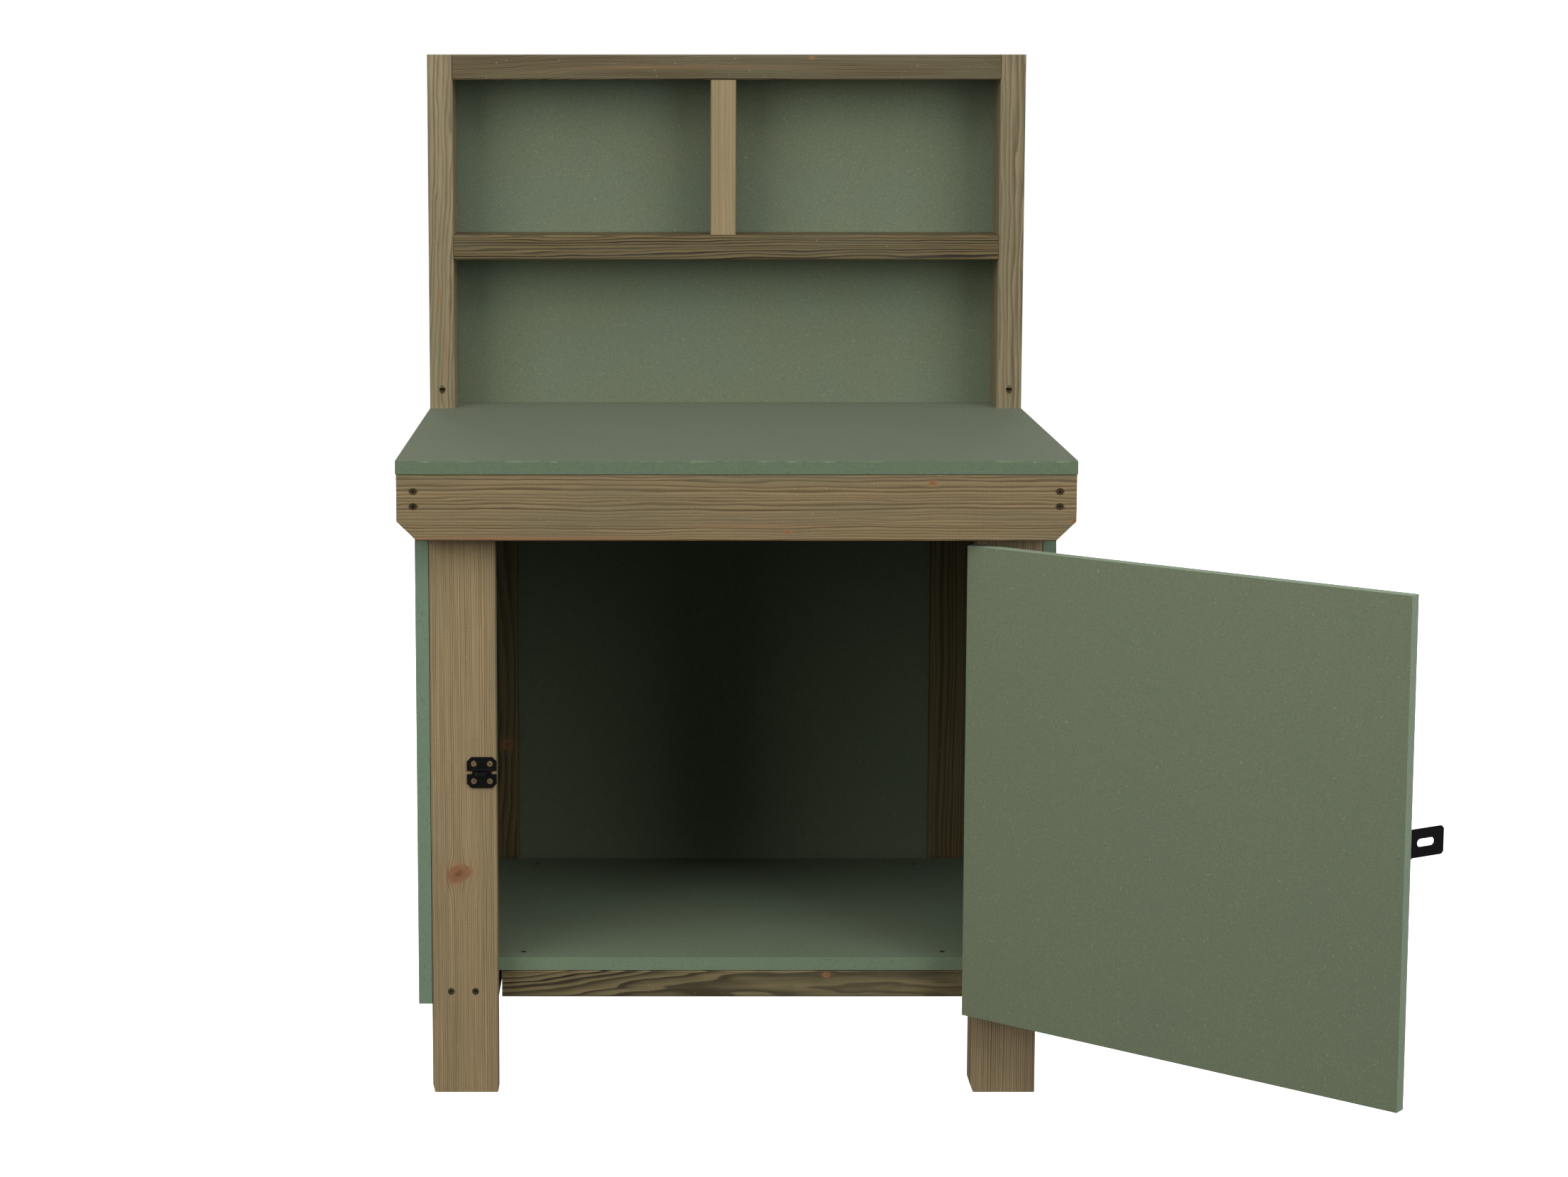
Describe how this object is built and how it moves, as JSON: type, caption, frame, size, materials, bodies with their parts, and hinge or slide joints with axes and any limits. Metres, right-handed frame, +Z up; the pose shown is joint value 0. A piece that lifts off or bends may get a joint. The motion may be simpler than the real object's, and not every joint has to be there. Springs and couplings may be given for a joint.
{
  "type": "potting bench",
  "caption": "Timber-framed potting bench with a green board worktop, a shelf unit on its back edge, and a cupboard below with a hinged door and a folding hasp.",
  "frame": {"origin": "on the floor, in the middle of the front left foot", "axes": "+X to the right seen from the front, +Y from the front towards the back panel, +Z up"},
  "size_m": [1.3094, 1.1328, 1.406],
  "materials": {
    "green_board": "matt moisture-resistant fibreboard",
    "treated_timber": "planed pressure-treated softwood, matt",
    "black_iron": "black japanned, semi-gloss",
    "brass_screws": "yellow-passivated, satin",
    "frame_screws": "dull yellow passivated",
    "black_screws": "black japanned"
  },
  "bodies": {
    "bench": {"apron_screws": "frame_screws", "back_panel_screws": "frame_screws", "bottom_front_rail": "treated_timber", "bottom_rear_rail": "treated_timber", "bottom_side_rail_left": "treated_timber", "bottom_side_rail_right": "treated_timber", "cupboard_floor": "green_board", "divider_screws": "frame_screws", "floor_screws": "frame_screws", "front_apron": "treated_timber", "front_leg_left": "treated_timber", "front_leg_right": "treated_timber", "hinge_pin_lower": "black_iron", "hinge_pin_upper": "black_iron", "hinge_plate_lower": "black_iron", "hinge_plate_screws": "black_screws", "hinge_plate_upper": "black_iron", "leg_screws": "frame_screws", "lower_back_panel": "green_board", "middle_shelf": "treated_timber", "rear_apron": "treated_timber", "rear_leg_left": "treated_timber", "rear_leg_right": "treated_timber", "shelf_divider": "treated_timber", "side_apron_left": "treated_timber", "side_apron_right": "treated_timber", "side_apron_screws": "frame_screws", "side_panel_left": "green_board", "side_panel_right": "green_board", "side_panel_screws": "frame_screws", "staple": "black_iron", "staple_screws": "brass_screws", "top_rail": "treated_timber", "upper_back_panel": "green_board", "upper_frame_screws": "frame_screws", "upright_left": "treated_timber", "upright_right": "treated_timber", "upright_toe_screws": "frame_screws", "worktop": "green_board"},
    "door": {"door_panel": "green_board", "hasp_pin": "black_iron", "hasp_plate": "black_iron", "hasp_plate_screws": "brass_screws", "hinge_strap_lower": "black_iron", "hinge_strap_screws": "black_screws", "hinge_strap_upper": "black_iron"},
    "hasp": {"hasp_leaf": "black_iron"}
  },
  "joints": [
    {"name": "door_hinge", "type": "hinge", "parent": "bench", "child": "door", "pos_m": [0.685, -0.0225, 0.436], "axis": [0, 0, 1], "range_deg": [-141, 36]},
    {"name": "hasp_hinge", "type": "hinge", "parent": "door", "child": "hasp", "pos_m": [1.17679, -0.41945, 0.447], "axis": [0, 0, 1], "range_deg": [-68, 110]}
  ]
}
